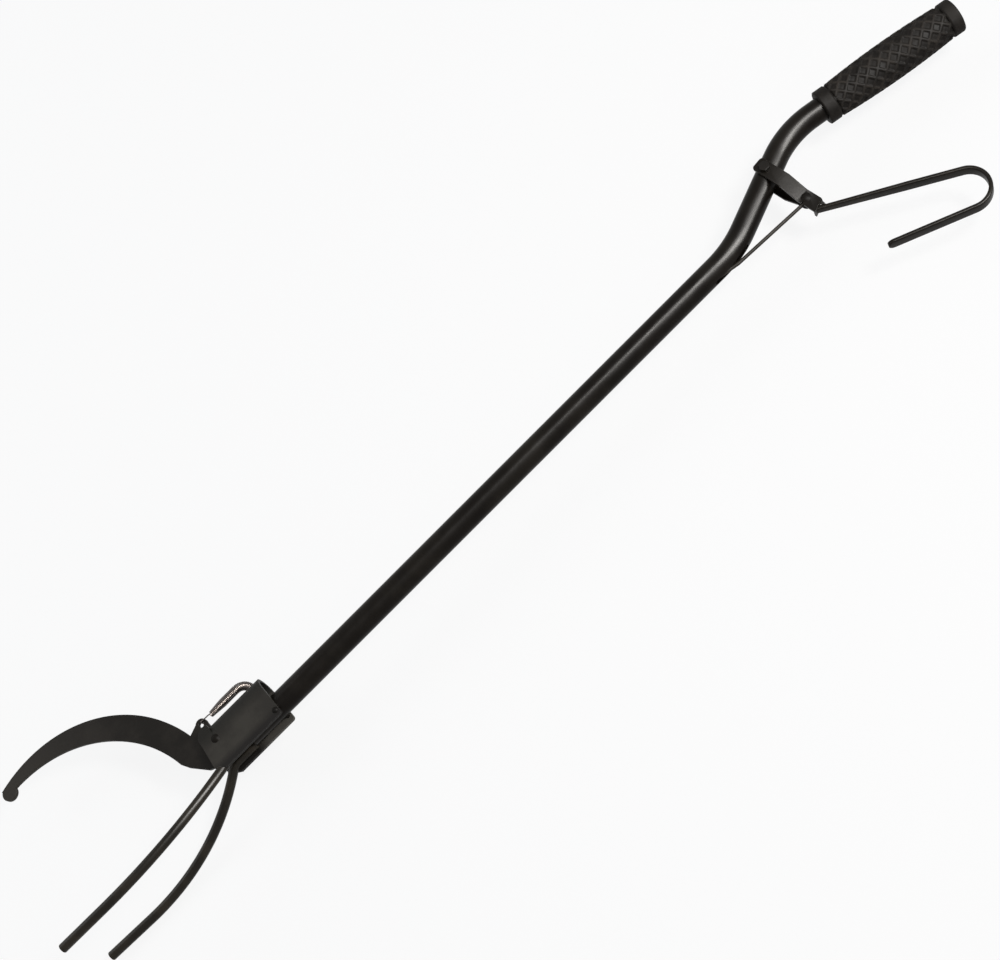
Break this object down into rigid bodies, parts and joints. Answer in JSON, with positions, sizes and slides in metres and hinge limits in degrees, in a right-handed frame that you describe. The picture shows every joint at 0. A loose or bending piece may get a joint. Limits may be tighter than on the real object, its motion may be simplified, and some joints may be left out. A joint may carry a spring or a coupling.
{
  "type": "fireplace tongs",
  "caption": "One-hand fireplace tongs: a sickle jaw on a long kinked tube closes between round tines when the lever under the rubber grip is squeezed.",
  "frame": {"origin": "on the shaft's axis, half-way along its straight run", "axes": "+X along the shaft towards the handle, +Y towards the spring side, +Z across the tongs, up as they lie on their side"},
  "size_m": [1.0196, 0.257, 0.081],
  "materials": {
    "tube_paint": "semi-matt black paint over steel tube",
    "channel_paint": "semi-matt black paint over folded sheet",
    "tine_paint": "semi-matt black paint over steel bar",
    "jaw_paint": "semi-matt black paint over steel plate",
    "strap_paint": "semi-matt black paint, scuffed at the joggle",
    "lever_paint": "semi-matt black paint over flat bar",
    "rod_paint": "thin black paint over wire rod",
    "rivet_paint": "painted rivet",
    "bolt_black": "blackened steel",
    "spacer_steel": "plain steel",
    "spring_steel": "bright zinc-plated wire",
    "grip_rubber": "moulded black rubber with a diamond pattern"
  },
  "bodies": {
    "frame": {"shaft_tube": "tube_paint", "hand_grip": "grip_rubber", "head_channel": "channel_paint", "near_tine": "tine_paint", "far_tine": "tine_paint", "channel_rivet": "rivet_paint", "jaw_pin": "rivet_paint", "near_spacer": "spacer_steel", "far_spacer": "spacer_steel", "return_spring": "spring_steel", "pivot_bolt": "bolt_black", "pivot_washer": "bolt_black", "pivot_nut": "bolt_black"},
    "trigger": {"near_strap": "strap_paint", "far_strap": "strap_paint", "rod_rivet": "rivet_paint", "squeeze_lever": "lever_paint", "lever_weld": "lever_paint"},
    "pull_rod": {"pull_rod": "rod_paint", "rod_keeper": "spacer_steel"},
    "jaw": {"jaw": "jaw_paint"}
  },
  "joints": [
    {"name": "trigger_hinge", "type": "hinge", "parent": "frame", "child": "trigger", "pos_m": [0.33892, 0.02679, 0], "axis": [0, 0, 1], "range_deg": [0, 16.1]},
    {"name": "rod_pin", "type": "hinge", "parent": "trigger", "child": "pull_rod", "pos_m": [0.34269, -0.01384, 0], "axis": [0, 0, 1], "range_deg": [-15.9, 0]},
    {"name": "jaw_hinge", "type": "hinge", "parent": "frame", "child": "jaw", "pos_m": [-0.2932, 0.0129, 0], "axis": [0, 0, 1], "range_deg": [0, 48.1], "stiffness_Nm_per_rad": 0.4, "springref_deg": -20.05, "deforming": ["return_spring"]}
  ],
  "couplings": [
    {"joint": "rod_pin", "follows": "trigger_hinge", "ratio": -0.9855},
    {"joint": "jaw_hinge", "follows": "trigger_hinge", "ratio": 2.9814}
  ]
}
